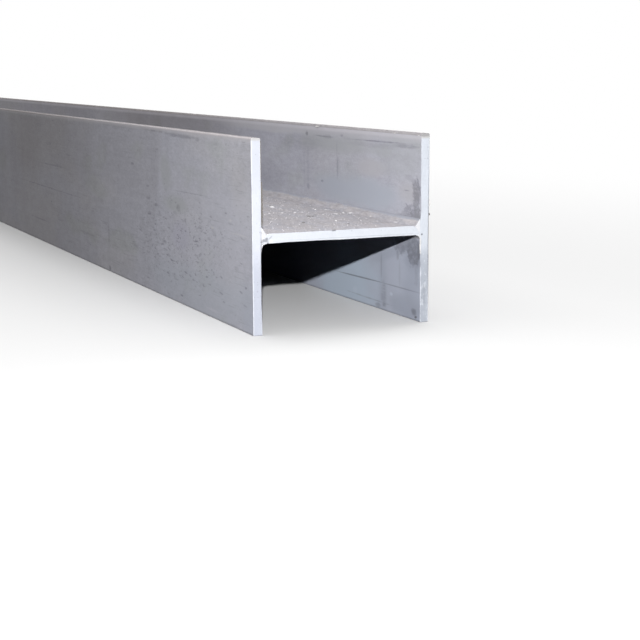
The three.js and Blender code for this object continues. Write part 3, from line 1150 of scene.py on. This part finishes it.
# face, from and to which height, fade, shift outwards, reach
LEFT_BULGES = [("outer", 158, 400, 50, 0.3, 0), ("inner", 20, 90, 10, 0.6, 0)]
RIGHT_BULGES = [
    ("both", 115, 400, 14, 0.42, 0), ("both", 145, 400, 40, 0.2, 0), ("inner", 112, 400, 14, 0.35, 0),
    ("inner", 111, 132, 10, 0.6, 9), ("outer", 74, 94, 8, -0.5, 0), ("inner", -60, 44, 8, 0.25, 40),
]
SEAM_FULLNESS = {"upper_left": 0, "upper_right": 0, "lower_left": -0.46, "lower_right": -0.25}

# ---- building
build_camera()
build_world()
build_floor()
for lamp in LAMPS:
    soft_lamp(*lamp)
scene.view_settings.view_transform = "Standard"

outer_rims = [("x", INNER_MM + 1.2, INNER_MM + 0.4), ("x", OUTER_MM - 1.2, OUTER_MM - 0.4)]
web_rims = [("z", WEB_UNDER_MM + 1.1, WEB_UNDER_MM + 0.5)]
left_cut = cut_finish("cut_end_of_left_flange", CUT_LEFT, 0.84, WELD_POCKETS, rims=outer_rims,
                      high_share=0.92)
right_cut = cut_finish("cut_end_of_right_flange", CUT_RIGHT, 0.7, RIGHT_CUT_MARKS, rims=outer_rims,
                       high_share=0.97, soiled=5.2, uneven=0.12, blotches=0.55, rim_top=50, worn=0.85)
web_cut = cut_finish("cut_end_of_web", CUT_WEB, 1.0, WEB_CUT_MARKS, BRIGHT_BUMPS, web_rims)
weld_cut = cut_finish("cut_end_of_weld", WELD_CUT, 1.0, WELD_POCKETS, uneven=0.22)
left_looks, right_looks = (LEFT_OUTER, PLAIN_LOOK, PLAIN_LOOK), (PLAIN_LOOK, RIGHT_UPPER, RIGHT_LOWER)
left_skin = flange_finish("pickled_left_flange", *left_looks, (240, 68, 190, 58, 1, -3))
right_skin = flange_finish("pickled_right_flange", *right_looks, (500, 120, 320, 60, 0.8, 3))
web_skin = web_finish("dusty_web")
weld_skins = {"upper": weld_finish("weld_metal_under_dust", True), "lower": weld_finish("weld_metal", False)}
pale_skin = crumb_finish("pale_crumbs", CRUMB_PALE, 0.7)
grit_skin = crumb_finish("gritty_dust_crumb", CRUMB_GRIT, 0.8)
dust_skin = crumb_finish("dusty_crumbs", CRUMB_DUST, 0.9)
dark_skin = crumb_finish("dark_crumbs", CRUMB_DARK, 0.8)
burr_skin = crumb_finish("bright_burrs", BURR_BRIGHT, 0.6)
dark_burr_skin = crumb_finish("dark_burrs", BURR_DARK, 0.8)

build_plate("left_flange", "flange_plate_left", flange_relief(1.0, LEFT_BULGES), left_skin, left_cut)
build_plate("right_flange", "flange_plate_right", flange_relief(2.0, RIGHT_BULGES), right_skin, right_cut)
build_plate("web", "web_plate", web_relief, web_skin, web_cut)

ripples = ripple_tree()
sides = ((-1, "left"), (1, "right"))
for side, side_name in sides:
    for level, level_name in ((1, "upper"), (-1, "lower")):
        build_seam(f"{level_name}_{side_name}", side, level, weld_skins[level_name], weld_cut, ripples)

scatter = scatter_tree()
margin = 9 * MM
web_corner = (-FLANGE_INNER + margin, NEAR_END + 6 * MM, WEB_TOP)
web_sides = ((2 * (FLANGE_INNER - margin), 0, 0), (0, LENGTH - 12 * MM, 0))
# name, spread, finish, crumbs to a square metre, smallest, largest, flatness, seed
web_crumbs = [
    ("dusty_grit", near_spread, dust_skin, 14000.0, 0.6, 2.0, 0.8, 11),
    ("pale_flecks", web_spread, grit_skin, 300.0, 1.2, 2.8, 0.4, 5),
    ("pale_grit", web_spread, grit_skin, 1400.0, 0.6, 1.6, 0.7, 21),
    ("dark_grit", web_spread, dark_skin, 420.0, 0.7, 2.6, 0.5, 33),
]
for name, spread, *crumbs in web_crumbs:
    build_crumbs(name, (web_corner, *web_sides, spread), scatter, *crumbs)
build_flakes("pale_flakes", PALE_FLAKES, WEB_TOP, pale_skin)
build_flakes("dark_flakes", DARK_FLAKES, WEB_TOP, dark_skin)
build_flakes("edge_flakes", EDGE_FLAKES, BEAM_TOP - 2.4 * MM, burr_skin)
build_cut_burrs("dark_cut_burrs", DARK_BURRS, dark_burr_skin)
build_cut_burrs("pale_cut_burrs", PALE_BURRS, burr_skin)
for side, side_name in sides:
    low_x, high_x = sorted((side * (FLANGE_INNER + 2.4 * MM), side * (HALF_WIDTH - 1.4 * MM)))
    edge_corner = (low_x, NEAR_END + 2 * MM, BEAM_TOP)
    ground = (edge_corner, (high_x - low_x, 0, 0), (0, LENGTH - 4 * MM, 0), even_spread)
    build_crumbs(f"{side_name}_edge_burrs", ground, scatter, burr_skin, 520.0, 0.5, 2.4, 0.35, 41 + side)
